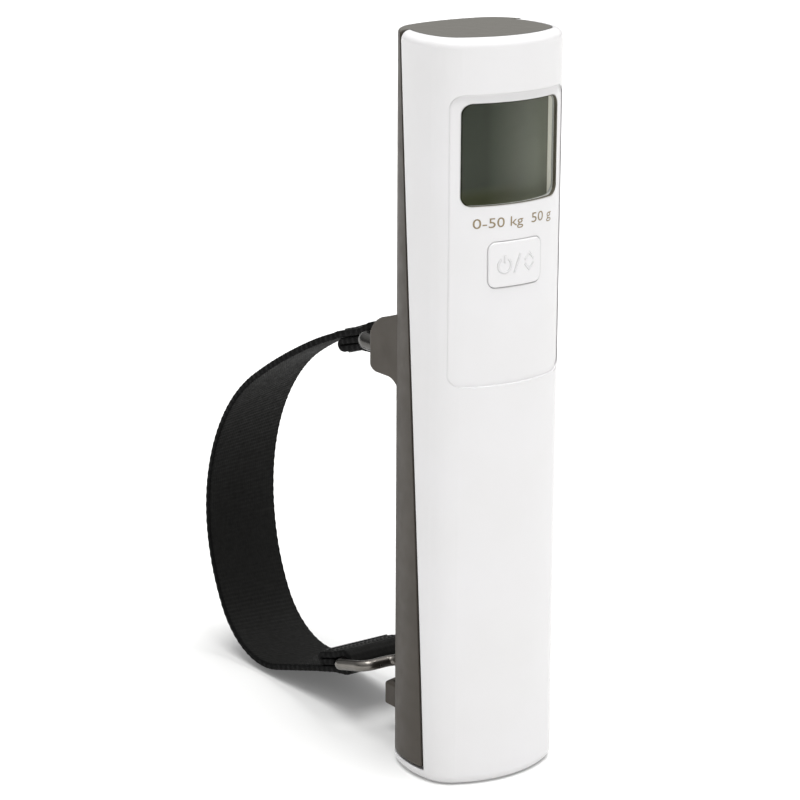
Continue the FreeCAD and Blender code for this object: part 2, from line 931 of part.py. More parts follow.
hanger_bar = slab(
    "hanger_bar",
    "beam_half_width",
    "beam_back_y",
    "hanger_back_y",
    "load_height - hanger_half_height",
    "load_height + hanger_half_height",
)
hanger_bore = rod(
    "hanger_bore", "x", "ring_wire_radius + pivot_clearance", "16", "-8", "ring_inner_y", "load_height"
)
finish(
    "hanger_block",
    cut(
        "hanger_block_body",
        hanger_bar,
        [hanger_bore]
        + beam_rods("hanger_thread", "1.25", "4.6", "beam_back_y - 0.1", "hanger_screw_offset"),
    ),
)
finish(
    "hanger_screws",
    join(
        "hanger_screws_body",
        beam_rods("hanger_head", "2.2", "1.8", "beam_front_y - 1.8", "hanger_screw_offset")
        + beam_rods("hanger_shank", "1.25", "8.4", "beam_front_y - 0.1", "hanger_screw_offset"),
    ),
)
finish(
    "beam_screws",
    join(
        "beam_screws_body",
        beam_rods("beam_head", "3.3", "2.2", "beam_front_y - 2.2")
        + beam_rods("beam_shank", "1.6", "8.8", "beam_front_y - 0.1"),
    ),
)

# ---------------------------------------------------------------- ring


def ring_solid():
    """A closed rectangular ring of round bar, in a level plane."""
    half = dim("ring_half_width")
    inner = dim("ring_inner_y")
    outer = dim("ring_outer_y")
    level = dim("load_height")
    corner = dim("ring_corner")
    points = [
        Vector(0, inner, level),
        Vector(half, inner, level),
        Vector(half, outer, level),
        Vector(-half, outer, level),
        Vector(-half, inner, level),
        Vector(0, inner, level),
    ]
    return wire_solid(rounded_path(points, [corner] * 4), dim("ring_wire_radius"))


finish("strap_ring", shaped("strap_ring_body", ring_solid()))

# ---------------------------------------------------------------- strap


def heading(degrees):
    return Vector(math.cos(math.radians(degrees)), math.sin(math.radians(degrees)), 0)


def left_of(degrees):
    return heading(degrees + 90)


def strap_route():
    """The strap's centre line in the YZ plane: places and headings at the ends of each stretch.

    Plane coordinates are (Y, Z). The hems at both ends are straight, and lie on the line through
    the bar that they wrap. The layer that carries on is the outer one of a hem's three.
    """
    start_heading = -dim("hem_slope")
    ring_bar = Vector(dim("ring_outer_y"), dim("load_height"), 0)
    ring_hem_end = ring_bar + heading(start_heading) * (dim("ring_wire_radius") + dim("ring_hem_length"))
    first = ring_hem_end + left_of(start_heading) * OUTER_LAYER
    final_heading = -180 - dim("end_slope")
    turns = [(dim(part + "_arc"), dim(part + "_turn")) for part in ("lead", "outer")]
    last_turn = start_heading - final_heading - sum(turn for _, turn in turns)
    turns.append((dim("lower_arc"), last_turn))
    stations = [(first, start_heading)]
    for radius, turn in turns:
        point, angle = stations[-1]
        centre = point - left_of(angle) * radius
        stations.append((centre + left_of(angle - turn) * radius, angle - turn))
    end, angle = stations[-1]
    layer_end = end + heading(angle) * dim("end_run")
    hem_heading = -180 - dim("hem_slope")
    hook_hem_end = layer_end - left_of(hem_heading) * OUTER_LAYER
    hook_bar = hook_hem_end + heading(hem_heading) * (dim("hook_wire_radius") + dim("hook_hem_length"))
    return ring_bar, ring_hem_end, stations, layer_end, hook_hem_end, hook_bar, turns


OUTER_LAYER = (dim("hem_thickness") - dim("strap_thickness")) / 2 - 0.05
RING_BAR, RING_HEM_END, STATIONS, LAYER_END, HOOK_HEM_END, HOOK_BAR, STRAP_TURNS = strap_route()


def band_outline(half):
    """Both faces of the single-layer stretch, joined at its two ends."""
    outer = []
    inner = []
    for (point, angle), (radius, turn) in zip(STATIONS, STRAP_TURNS):
        centre = point - left_of(angle) * radius
        middle = left_of(angle - turn / 2)
        for side, offset in ((outer, half), (inner, -half)):
            near = point + left_of(angle) * offset
            bend = centre + middle * (radius + offset)
            side += [(near.x, near.y), (bend.x, bend.y, "arc")]
    end, angle = STATIONS[-1]
    for side, offset in ((outer, half), (inner, -half)):
        corner = end + left_of(angle) * offset
        last = LAYER_END + heading(angle) * 1.0 + left_of(angle) * offset
        side += [(corner.x, corner.y), (last.x, last.y)]
    tucked = STATIONS[0][0] - heading(STATIONS[0][1]) * 1.0
    for side, offset in ((outer, half), (inner, -half)):
        corner = tucked + left_of(STATIONS[0][1]) * offset
        side.insert(0, (corner.x, corner.y))
    return outline(outer + inner[::-1])


def hem_outline(bar, far, half, bar_radius):
    """A stitched hem: a slab that narrows into the loop round a bar."""
    along = (far - bar).normalize()
    across = Vector(-along.y, along.x, 0)
    loop = bar_radius + dim("strap_thickness")
    corners = [
        bar + across * loop,
        bar + along * (loop + 2.0) + across * half,
        far + across * half,
        far - across * half,
        bar + along * (loop + 2.0) - across * half,
        bar - across * loop,
    ]
    return outline([(corner.x, corner.y) for corner in corners])


def webbing(name, curves):
    return extrusion(name, sketch(name + "_outline", ACROSS_X, 0, 0, 0, curves), "strap_width", True)


def loop_rod(name, bar, radius, length):
    return rod(name, "x", radius, length, f"0 - ( {length} ) / 2", repr(bar.x), repr(bar.y))


HALF_BAND = dim("strap_thickness") / 2
HALF_HEM = dim("hem_thickness") / 2
band = webbing("band", band_outline(HALF_BAND))
ring_hem = webbing("ring_hem", hem_outline(RING_BAR, RING_HEM_END, HALF_HEM, dim("ring_wire_radius")))
hook_hem = webbing("hook_hem", hem_outline(HOOK_BAR, HOOK_HEM_END, HALF_HEM, dim("hook_wire_radius")))
ring_loop = loop_rod("ring_loop", RING_BAR, "ring_wire_radius + strap_thickness", "strap_width")
hook_loop = loop_rod("hook_loop", HOOK_BAR, "hook_wire_radius + strap_thickness", "strap_width")
strap_solid = join("strap_solid", [band, ring_hem, hook_hem, ring_loop, hook_loop])
finish(
    "strap",
    cut(
        "strap_body",
        strap_solid,
        [
            loop_rod("ring_bar_hole", RING_BAR, "ring_wire_radius + pivot_clearance", "strap_width + 2"),
            loop_rod("hook_bar_hole", HOOK_BAR, "hook_wire_radius + pivot_clearance", "strap_width + 2"),
        ],
    ),
)

# ---------------------------------------------------------------- hook


def hook_solid():
    """One bent wire: bar, two legs, shoulders, and a narrow tongue that turns down at its end."""
    wide = dim("hook_half_width")
    narrow = dim("tongue_half_width")
    slope = math.radians(dim("hook_slope"))
    bar = Vector(0, HOOK_BAR.x, HOOK_BAR.y)
    toward = Vector(0, -math.cos(slope), math.sin(slope))
    front = bar + toward * dim("hook_reach")
    corner = front + toward * dim("tongue_length")
    tip = Vector(0, corner.y, dim("tip_height"))

    def across(base, x):
        return Vector(x, base.y, base.z)

    half = [
        (across(bar, wide), 1.3),
        (across(front, wide), 2.6),
        (across(front, narrow), 2.2),
        (across(corner, narrow), 1.9),
        (across(tip, narrow), 1.9),
    ]
    mirrored = [(across(point, -point.x), radius) for point, radius in reversed(half)]
    butt = 0.15
    points = [across(bar, butt)] + [point for point, _ in half + mirrored] + [across(bar, -butt)]
    radii = [radius for _, radius in half + mirrored]
    return wire_solid(rounded_path(points, radii), dim("hook_wire_radius"))


finish("strap_hook", shaped("strap_hook_body", hook_solid()))

# ---------------------------------------------------------------- battery

finish(
    "coin_cell",
    rod("coin_cell_body", "y", "cell_radius", "cell_thickness", "0", "cell_front_y", "cell_height"),
)
minus_strip = slab(
    "minus_strip", "2.5", "bay_floor_y", "cell_front_y", "cell_height - 9.4", "cell_height + 6"
)
minus_leg = slab(
    "minus_leg", "1.5", "5.2", "bay_floor_y + 0.1", "cell_height - 9.4", "cell_height - 9.1"
)
finish("battery_contact_minus", join("battery_contact_minus_body", [minus_strip, minus_leg]))
finish(
    "battery_contact_plus",
    slab("plus_body", "3", "5.2", "cap_inner_y - 0.3", "cell_height + 10.03", "cell_height + 10.28"),
)
cap_disc = rod(
    "cap_disc", "y", "cap_radius", "cap_face_y - cap_inner_y", "0", "cap_inner_y", "cell_height"
)
cap_lugs_disc = rod("cap_lugs_disc", "y", "12.6", "0.75", "0", "cap_inner_y + 0.05", "cell_height")
cap_lugs_trim = slab("cap_lugs_trim", "1.7", "cap_inner_y", "20", "cell_height - 15", "cell_height + 15")
cap_lugs = meet("cap_lugs", [cap_lugs_disc, cap_lugs_trim])
cap_solid = join("cap_solid", [cap_disc, cap_lugs])
coin_slot = slab("coin_slot", "5.2", "cap_face_y - 1.0", "20", "cell_height - 0.9", "cell_height + 0.9")
finish("battery_cap", cut("battery_cap_body", cap_solid, [coin_slot]))

# ---------------------------------------------------------------- case screws and wires

screw_heads = screw_columns(
    "case_head", "screw_head_radius", "case_seat_y", "case_seat_y + screw_head_height"
)
screw_shanks = screw_columns("case_shank", "screw_radius", "1.4", "case_seat_y + 0.1")
screws = join("screws", screw_heads + screw_shanks)
recesses = screw_columns("case_recess", "0.8", "case_seat_y + 0.6", "case_seat_y + 2")
finish("case_screws", cut("case_screws_body", screws, recesses))


def wires(routes, radius, bend):
    """Insulated wires along straight runs, each ending square on the back of the board."""
    board_back = dim("board_front_y") + dim("board_thickness")
    solids = []
    for route in routes:
        points = [Vector(*point) for point in route]
        points.append(Vector(points[-1].x, board_back, points[-1].z))
        path = rounded_path(points, [bend] * (len(points) - 2))
        solids.append(wire_solid(path, radius))
    return Part.makeCompound(solids)


BATTERY_ROUTES = [
    [(0, 5.6, 118.1), (0, 3.4, 117.5), (-3.5, 2.2, 116.2), (-4.6, 1.4, 115.2)],
    [(1.6, 5.6, 138.7), (1.6, 3.8, 139.8), (3.2, 2.4, 143.2), (3.4, 1.4, 145.0)],
]
GAUGE_ROUTES = [
    [(-2.4, 2.8, 103.0), (-4.6, 2.1, 104.2), (-7.6, 1.7, 107.0), (-8.4, 1.3, 109.2)],
    [(2.4, 2.8, 103.0), (4.6, 2.1, 104.2), (7.6, 1.7, 107.0), (8.4, 1.3, 109.2)],
    [(-2.4, 2.8, 83.0), (-4.8, 2.2, 85.4), (-8.4, 1.7, 89.6), (-9.4, 1.3, 92.2)],
    [(2.4, 2.8, 83.0), (4.8, 2.2, 85.4), (8.4, 1.7, 89.6), (9.4, 1.3, 92.2)],
]
finish("battery_wires", shaped("battery_wires_body", wires(BATTERY_ROUTES, 0.45, 1.2)))
finish("gauge_wires", shaped("gauge_wires_body", wires(GAUGE_ROUTES, 0.35, 1.2)))

# ---------------------------------------------------------------- checks and files

doc.recompute()
for item in doc.Objects:
    if "Invalid" in item.State or "Error" in item.State:
        raise RuntimeError(f"{item.Name} failed: {item.State}")
for node, item in PARTS:
    if item.Shape.isNull() or not item.Shape.isValid():
        raise RuntimeError(f"{node} has no valid shape")

os.makedirs("parts", exist_ok=True)
for node, item in PARTS:
    item.Shape.exportStep(f"parts/{node}.step")
    volume = item.Shape.Volume
    print(f"{node}: {len(item.Shape.Solids)} solid(s), {volume:.1f} mm3")
print(f"hook bar: Y {HOOK_BAR.x:.3f}, Z {HOOK_BAR.y:.3f}")
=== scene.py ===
"""Looks of a digital luggage scale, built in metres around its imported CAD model.

+Z runs along the handle, -Y is the side with the display, and the strap is on +Y.
"""

import json
import math

import bpy
import numpy as np
from mathutils import Matrix, Vector
from mathutils.bvhtree import BVHTree


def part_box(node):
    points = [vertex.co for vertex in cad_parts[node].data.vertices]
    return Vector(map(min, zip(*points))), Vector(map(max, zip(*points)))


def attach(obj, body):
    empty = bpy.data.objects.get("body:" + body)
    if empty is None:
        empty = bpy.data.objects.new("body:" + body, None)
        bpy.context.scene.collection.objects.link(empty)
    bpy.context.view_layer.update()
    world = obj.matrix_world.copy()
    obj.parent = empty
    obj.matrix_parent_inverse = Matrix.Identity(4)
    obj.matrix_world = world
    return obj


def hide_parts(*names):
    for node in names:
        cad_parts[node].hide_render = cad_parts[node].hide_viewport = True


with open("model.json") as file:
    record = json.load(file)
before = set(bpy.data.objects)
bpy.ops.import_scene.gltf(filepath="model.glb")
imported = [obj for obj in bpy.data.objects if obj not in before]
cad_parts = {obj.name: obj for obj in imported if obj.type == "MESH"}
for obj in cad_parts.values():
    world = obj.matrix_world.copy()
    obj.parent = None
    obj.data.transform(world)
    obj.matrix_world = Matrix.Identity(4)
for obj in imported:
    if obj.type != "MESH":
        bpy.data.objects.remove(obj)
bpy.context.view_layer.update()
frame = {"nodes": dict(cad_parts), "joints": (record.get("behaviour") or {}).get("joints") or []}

MM = 0.001
NODES = frame["nodes"]
JOINT_PLACES = {joint["name"]: np.array(joint["pos_m"]) for joint in frame["joints"] if "pos_m" in joint}


# ---------------------------------------------------------------- materials

# how far the painted shade in narrow gaps looks for nearby surfaces
GAP_SHADE_REACH = 0.9 * MM
# depths below the back shell's flat top, between which the painted light on that upward-facing top starts and
# is full
TOP_LIGHT_FADE = (0.6 * MM, 0.1 * MM)
# heights above the display's lower edge, between which its olive band fades out
OLIVE_FADE = (2.2 * MM, 4.6 * MM)
# how far left of its middle the painted reflection starts to make the display paler
PAINTED_REFLECTION_START = 3.4 * MM
# distances from the strap's middle, between which its darker selvedge starts and is full
SELVEDGE_FADE = (9.3 * MM, 9.7 * MM)
YARN_PITCH = 0.62 * MM
# how many radians a wave texture turns through in a metre, at a scale of 1
WAVE_RADIANS = 20


def linear(value):
    """One display colour channel, 0 to 255, as linear light."""
    value /= 255
    return value / 12.92 if value <= 0.04045 else ((value + 0.055) / 1.055) ** 2.4


def colour(red, green, blue):
    return (linear(red), linear(green), linear(blue), 1.0)


class Look:
    """A Principled material, with nodes that vary its colour, roughness and surface."""

    def __init__(self, name, **values):
        self.material = bpy.data.materials.new(name)
        self.material.use_nodes = True
        self.tree = self.material.node_tree
        self.shader = self.tree.nodes["Principled BSDF"]
        self.place = self.node("ShaderNodeTexCoord").outputs["Object"]
        self.normal = None
        for setting, value in values.items():
            self.shader.inputs[setting.replace("_", " ")].default_value = value

    def node(self, kind, **settings):
        made = self.tree.nodes.new(kind)
        for name, value in settings.items():
            setattr(made, name, value)
        return made

    def link(self, start, end):
        self.tree.links.new(start, end)

    def noise(self, scale, detail=3.0, stretch=None):
        """A noise texture's value, with its scale in cycles per metre."""
        made = self.node("ShaderNodeTexNoise")
        made.inputs["Scale"].default_value = scale
        made.inputs["Detail"].default_value = detail
        if stretch is None:
            self.link(self.place, made.inputs["Vector"])
        else:
            mapping = self.node("ShaderNodeMapping")
            mapping.inputs["Scale"].default_value = stretch
            self.link(self.place, mapping.inputs["Vector"])
            self.link(mapping.outputs["Vector"], made.inputs["Vector"])
        return made.outputs["Fac"]

    def spread(self, value, low, high, start=0.3, end=0.7):
        """A value between two limits as another runs from start to end."""
        made = self.node("ShaderNodeMapRange")
        for name, number in (("From Min", start), ("From Max", end), ("To Min", low), ("To Max", high)):
            made.inputs[name].default_value = number
        self.link(value, made.inputs["Value"])
        return made.outputs["Result"]

    def mottle(self, first, second, value):
        """Colour that wanders between two colours."""
        mix = self.node("ShaderNodeMix", data_type="RGBA")
        mix.inputs[6].default_value = first
        mix.inputs[7].default_value = second
        self.link(self.spread(value, 0.0, 1.0), mix.inputs["Factor"])
        self.link(mix.outputs[2], self.shader.inputs["Base Color"])
        return self

    def painted_gap_shade(self, first, second, gap_shade, value):
        """Wandering colour with painted shade: an ambient occlusion mask darkens it towards a shade colour in
        narrow gaps.
        """
        self.mottle(first, second, value)
        base = self.shader.inputs["Base Color"].links[0].from_socket
        # painted shade: where nearby surfaces close in, the colour is mixed towards the dark shade colour
        shade = self.node("ShaderNodeAmbientOcclusion", samples=8)
        shade.inputs["Distance"].default_value = GAP_SHADE_REACH
        mix = self.node("ShaderNodeMix", data_type="RGBA")
        mix.inputs[6].default_value = gap_shade
        self.link(base, mix.inputs[7])
        self.link(self.spread(shade.outputs["AO"], 0.0, 1.0, 0.35, 0.6), mix.inputs["Factor"])
        self.link(mix.outputs[2], self.shader.inputs["Base Color"])
        return self

    def axis(self, name, absolute=False):
        """One of the object's own coordinates."""
        parts = self.node("ShaderNodeSeparateXYZ")
        self.link(self.place, parts.inputs["Vector"])
        if not absolute:
            return parts.outputs[name]
        size = self.node("ShaderNodeMath", operation="ABSOLUTE")
        self.link(parts.outputs[name], size.inputs[0])
        return size.outputs["Value"]

    def overlay(self, tint, factor):
        """A colour laid over the colour so far, by a factor from 0 to 1."""
        base = self.shader.inputs["Base Color"].links[0].from_socket
        mix = self.node("ShaderNodeMix", data_type="RGBA")
        self.link(base, mix.inputs[6])
        mix.inputs[7].default_value = tint
        self.link(factor, mix.inputs["Factor"])
        self.link(mix.outputs[2], self.shader.inputs["Base Color"])
        return self

    def polish(self, low, high, value):
        self.link(self.spread(value, low, high), self.shader.inputs["Roughness"])
        return self

    def soften(self, radius):
        """Rounds the shading of edges within a radius."""
        made = self.node("ShaderNodeBevel", samples=6)
        made.inputs["Radius"].default_value = radius
        self.normal = made.outputs["Normal"]
        self.link(self.normal, self.shader.inputs["Normal"])
        return self

    def bump(self, value, depth, strength=1.0):
        made = self.node("ShaderNodeBump")
        made.inputs["Strength"].default_value = strength
        made.inputs["Distance"].default_value = depth
        self.link(value, made.inputs["Height"])
        if self.normal is not None:
            self.link(self.normal, made.inputs["Normal"])
        self.normal = made.outputs["Normal"]
        self.link(self.normal, self.shader.inputs["Normal"])
        return self


def white_plastic(name, tone=0):
    look = Look(name, Specular_IOR_Level=0.5, IOR=1.5)
    light, dark = colour(222 - tone, 221 - tone, 222 - tone), colour(219 - tone, 218 - tone, 218 - tone)
    look.mottle(dark, light, look.noise(45, 4))
    look.polish(0.16, 0.24, look.noise(120, 3))
    look.soften(0.45 * MM)
    return look.bump(look.noise(900, 2), 0.004 * MM, 0.35)


def satin_plastic(name):
    look = Look(name, Specular_IOR_Level=0.18)
    # the third colour is painted shade, laid into narrow gaps such as the parting line
    look.painted_gap_shade(colour(70, 65, 59), colour(76, 71, 65), colour(24, 18, 14), look.noise(160, 5))
    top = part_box("back_shell")[1].z
    start, full = (top - depth for depth in TOP_LIGHT_FADE)
    # painted light: the flat top is made paler, as if lit from above
    look.overlay(colour(97, 95, 90), look.spread(look.axis("Z"), 0.0, 1.0, start, full))
    look.polish(0.42, 0.52, look.noise(300, 3))
    look.soften(0.4 * MM)
    return look.bump(look.noise(5200, 2), 0.012 * MM, 0.5)


def metal(name, first, second, low, high, stretch=(1, 1, 1), depth=0.006):
    look = Look(name, Metallic=1.0)
    look.mottle(first, second, look.noise(260, 5, stretch))
    look.polish(low, high, look.noise(700, 4, stretch))
    return look.bump(look.noise(2600, 3, stretch), depth * MM, 0.4)


def contact_metal(name):
    return metal(name, colour(196, 188, 160), colour(210, 203, 178), 0.2, 0.3)


def plain(name, first, second, low=0.4, high=0.6, scale=300, depth=0.01):
    look = Look(name)
    look.mottle(first, second, look.noise(scale, 4))
    look.polish(low, high, look.noise(2 * scale, 3))
    return look.bump(look.noise(8 * scale, 2), depth * MM, 0.5)


def painted_glow_frame(name):
    """White frame round the display, with a painted glow: a faint emission that stands in for the light that
    the window leads in.
    """
    look = plain(name, colour(232, 230, 222), colour(240, 238, 230))
    # painted glow: emission, though the frame is no lamp
    look.shader.inputs["Emission Color"].default_value = colour(236, 232, 220)
    look.shader.inputs["Emission Strength"].default_value = 0.25
    return look


def clear_plastic(name):
    """Clear moulded plastic: it lets light straight through, and its rounded rim gets painted shade, a darker
    tint that stands in for the rim's refraction.
    """
    look = Look(name, Base_Color=(0.0, 0.0, 0.0, 1.0), Specular_IOR_Level=0.0)
    look.polish(0.02, 0.04, look.noise(60, 1))
    clear = look.node("ShaderNodeBsdfTransparent")
    clear.inputs["Color"].default_value = (0.93, 0.94, 0.93, 1.0)
    # painted shade: a darker tint where the surface turns away from -Y, round the rim
    rim = look.node("ShaderNodeBsdfTransparent")
    rim.inputs["Color"].default_value = (0.46, 0.44, 0.39, 1.0)
    parts = look.node("ShaderNodeSeparateXYZ")
    look.link(look.node("ShaderNodeTexCoord").outputs["Normal"], parts.inputs["Vector"])
    depth = look.node("ShaderNodeMath", operation="ABSOLUTE")
    look.link(parts.outputs["Y"], depth.inputs[0])
    pick = look.node("ShaderNodeMixShader")
    look.link(look.spread(depth.outputs["Value"], 0.0, 1.0, 0.3, 0.75), pick.inputs["Fac"])
    look.link(rim.outputs["BSDF"], pick.inputs[1])
    look.link(clear.outputs["BSDF"], pick.inputs[2])
    total = look.node("ShaderNodeAddShader")
    look.link(look.shader.outputs["BSDF"], total.inputs[0])
    look.link(pick.outputs["Shader"], total.inputs[1])
    look.link(total.outputs["Shader"], look.tree.nodes["Material Output"].inputs["Surface"])
    return look


def display_glass(name):
    """A switched-off display: dark grey-green, with an olive lower edge and a painted reflection that makes
    it paler towards its right.
    """
    low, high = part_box("lcd_panel")
    look = Look(name, Specular_IOR_Level=0.12)
    olive = look.node("ShaderNodeMix", data_type="RGBA")
    olive.inputs[6].default_value = colour(71, 74, 66)
    olive.inputs[7].default_value = colour(92, 94, 72)
    band_top, clear_of_band = (low.z + height for height in OLIVE_FADE)
    look.link(look.spread(look.axis("Z"), 0.75, 0.0, band_top, clear_of_band), olive.inputs["Factor"])
    look.link(olive.outputs[2], look.shader.inputs["Base Color"])
    # painted reflection: a paler colour laid over the display's right side
    start = (low.x + high.x) / 2 - PAINTED_REFLECTION_START
    look.overlay(colour(132, 133, 123), look.spread(look.axis("X"), 0.0, 1.0, start, high.x))
    return look.polish(0.10, 0.14, look.noise(60, 1))


def webbing_cloth(name):
    """Black woven polyester: fine lengthwise yarns over the ribs that the mesh has."""
    look = Look(name, Specular_IOR_Level=0.07)
    look.mottle(colour(21, 21, 20), colour(28, 28, 27), look.noise(2400, 4, (1, 0.35, 0.35)))
    look.overlay(colour(8, 8, 8), look.spread(look.axis("X", absolute=True), 0.0, 1.0, *SELVEDGE_FADE))
    look.polish(0.55, 0.75, look.noise(900, 3))
    yarn = look.node("ShaderNodeTexWave", wave_type="BANDS", bands_direction="X")
    yarn.inputs["Scale"].default_value = 2 * math.pi / (WAVE_RADIANS * YARN_PITCH)
    yarn.inputs["Distortion"].default_value = 0.6
    yarn.inputs["Detail"].default_value = 1.0
    look.link(look.place, yarn.inputs["Vector"])
    look.bump(yarn.outputs["Fac"], 0.04 * MM, 0.5)
    return look.bump(look.noise(7000, 3, (1, 0.3, 0.3)), 0.04 * MM, 0.5)


WHITE = white_plastic("white_gloss_plastic").material
BUTTON_WHITE = white_plastic("button_gloss_plastic", -1).material
TAUPE = satin_plastic("taupe_satin_plastic").material
CLEAR = clear_plastic("clear_window_plastic").material
DISPLAY = display_glass("display_glass").material
RING_METAL = metal(
    "ring_plated_steel", colour(78, 77, 75), colour(90, 89, 86), 0.22, 0.30, (1, 0.2, 1)
).material
HOOK_METAL = metal("hook_gunmetal", colour(113, 110, 105), colour(125, 121, 116), 0.26, 0.34).material
STEEL = metal("screw_steel", colour(165, 165, 163), colour(182, 182, 180), 0.25, 0.38).material
ALUMINIUM = metal(
    "milled_aluminium", colour(200, 200, 202), colour(214, 214, 216), 0.28, 0.42, (0.2, 1, 1)
).material
WEBBING = webbing_cloth("black_webbing").material
THREAD = plain("black_thread", colour(26, 26, 26), colour(44, 44, 43), 0.5, 0.7, 1500, 0.03).material
PRINT = plain("tan_print", colour(130, 114, 84), colour(144, 128, 97), 0.35, 0.5, 900, 0.002).material

CAD_LOOKS = {
    "front_shell": WHITE,
    "back_shell": TAUPE,
    "battery_cap": TAUPE,
    "display_window": CLEAR,
    "lcd_panel": DISPLAY,
    "button_cap": BUTTON_WHITE,
    "strap_ring": RING_METAL,
    "strap_hook": HOOK_METAL,
    "case_screws": STEEL,
    "board_screws": STEEL,
    "hanger_screws": STEEL,
    "beam_screws": STEEL,
    "hanger_block": STEEL,
    "tact_switch": STEEL,
    "coin_cell": STEEL,
    "load_cell_beam": ALUMINIUM,
    "lcd_frame": painted_glow_frame("frame_plastic").material,
    "contact_strip": plain("silicone_strip", colour(150, 104, 104), colour(168, 120, 118)).material,
    "switch_plunger": plain("switch_plastic", colour(28, 28, 28), colour(40, 40, 40)).material,
    "circuit_board": plain("board_mask", colour(24, 92, 52), colour(34, 108, 62), 0.25, 0.35).material,
    "board_components": plain("chip_resin", colour(30, 30, 31), colour(42, 42, 43)).material,
    "strain_gauges": plain("gauge_foil", colour(188, 148, 74), colour(206, 168, 92), 0.3, 0.4).material,
    "battery_contact_minus": contact_metal("contact_minus").material,
    "battery_contact_plus": contact_metal("contact_plus").material,
    "battery_wires": plain("red_insulation", colour(170, 34, 30), colour(188, 44, 38)).material,
    "gauge_wires": plain("white_insulation", colour(214, 214, 210), colour(228, 228, 224)).material,
    "strap": WEBBING,
}
for node_name, material in CAD_LOOKS.items():
    item = NODES[node_name]
    if not item.data.materials:
        item.data.materials.append(material)
    for slot in item.material_slots:
        slot.link = "OBJECT"
        slot.material = material


# ---------------------------------------------------------------- meshes


def mesh_piece(name, points, faces, material, smooth=True):
    """A mesh object from points in metres and faces."""
    mesh = bpy.data.meshes.new(name)
    mesh.from_pydata([tuple(point) for point in points], [], [tuple(face) for face in faces])
    mesh.materials.append(material)
    mesh.polygons.foreach_set("use_smooth", [smooth] * len(mesh.polygons))
    mesh.validate()
    mesh.update()
    made = bpy.data.objects.new(name, mesh)
    bpy.context.scene.collection.objects.link(made)
    return made


def lofted(sections):
    """Quads over rings of points that all have the same count, with both ends capped."""
    rings, count = sections.shape[:2]
    index = np.arange(rings * count).reshape(rings, count)
    after = np.roll(index, -1, axis=1)
    quads = np.stack([index[:-1], after[:-1], after[1:], index[1:]], axis=-1).reshape(-1, 4)
    last = (rings - 1) * count
    faces = [tuple(quad) for quad in quads.tolist()]
    faces.append(tuple(range(count - 1, -1, -1)))
    faces.append(tuple(range(last, last + count)))
    return sections.reshape(-1, 3), faces


def tube(line, radius, sides):
    """Rings round a line of points, which are in metres."""
    line = np.asarray(line, float)
    along = np.gradient(line, axis=0)
    along /= np.linalg.norm(along, axis=1)[:, None]
    side = np.cross(along, (0.0, 0.0, 1.0))
    side[np.linalg.norm(side, axis=1) < 1e-3] = (1.0, 0.0, 0.0)
    side /= np.linalg.norm(side, axis=1)[:, None]
    up = np.cross(side, along)
    angles = np.arange(sides) * 2 * math.pi / sides
    ring = side[:, None] * np.cos(angles)[None, :, None] + up[:, None] * np.sin(angles)[None, :, None]
    return lofted(line[:, None] + radius * ring)


def merged(parts):
    """One list of points and faces from several."""
    points, faces, total = [], [], 0
    for some_points, some_faces in parts:
        points.append(np.asarray(some_points))
        faces += [tuple(i + total for i in face) for face in some_faces]
        total += len(some_points)
    return np.concatenate(points), faces


# ---------------------------------------------------------------- webbing strap

# The strap is worked out in millimetres and degrees, and turned into metres as its meshes are made.
STRAP_WIDTH = 20.0
STRAP_HALF_WIDTH = STRAP_WIDTH / 2
HEM_THICKNESS = 4.8
LAYER = HEM_THICKNESS / 3
LAYER_GAP = 0.01
# how far the hem's outer layer lies from its middle
OUTER_LAYER = LAYER - 0.05
RING_HEM = 12.0
HOOK_HEM = 9.5
HEM_SLOPE = 16.0
RING_WIRE = (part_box("strap_ring")[1].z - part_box("strap_ring")[0].z) / 2 / MM
HOOK_WIRE = 1.25
# radius, and turn in degrees, of each arc from the ring to the hook
BENDS = [(137.0, 15.7), (45.4, 89.2), (20.4, 77.0)]
# how far the two edges lean apart, in millimetres, at shares of the length between the hems
LEAN_SHARES = [0.0, 0.12, 0.25, 0.4, 0.55, 0.7, 0.85, 1.0]
LEAN = [0.0, 1.5, 2.2, 1.75, 0.9, 1.0, 0.5, 0.0]
# ribs across the webbing, and the waves that they make in its edges
RIB = 1.05
RIB_DEPTH = 0.13
SCALLOP = 0.1
# the webbing's edges: how far the rounding reaches in, and how much thickness it takes away
EDGE_ROUND = 0.45
EDGE_THINNING = 0.8
# on the inner side of a bend, the most thickness as a share of the bend's radius
INNER_SHARE = 0.9
# lengths between points: along the arcs, along the smoothed line, and between the mesh's rings
ARC_STEP = 0.1
LINE_STEP = 0.05
STEP = 0.262
RUN_POINTS = 60
FOLD_POINTS = 25
ACROSS_POINTS = 44
# points left out at each end of the single layer, so that it meets the hems without a kink
SETTLE_POINTS = 15
# points over which the lean and the finished line are smoothed
LEAN_SMOOTHING = 60
LINE_SMOOTHING = 7
# within a hem: where the layers leave the wire, the tucked raw end, and the way round the wire
LAYERS_START = 2.0
RAW_END_REACH = 0.6
FOLD_BULGE = 0.62
WRAP_CLEARANCE = 0.08
WRAP_FROM, WRAP_TO = -79, -281
# rows of stitches, from where the layers leave the wire and from the end of the hem
STITCH_ROWS = (2.6, 2.0)
STITCH_REACH = 8.6
STITCH_PITCH = 0.55
STITCH_SWING = 0.8
STITCH_CROWN = 0.16
STITCH_SINK = 0.06
THREAD_STEP = 0.14
THREAD_RADIUS = 0.21
THREAD_SIDES = 6


def heading(degrees):
    return np.array([math.cos(math.radians(degrees)), math.sin(math.radians(degrees))])


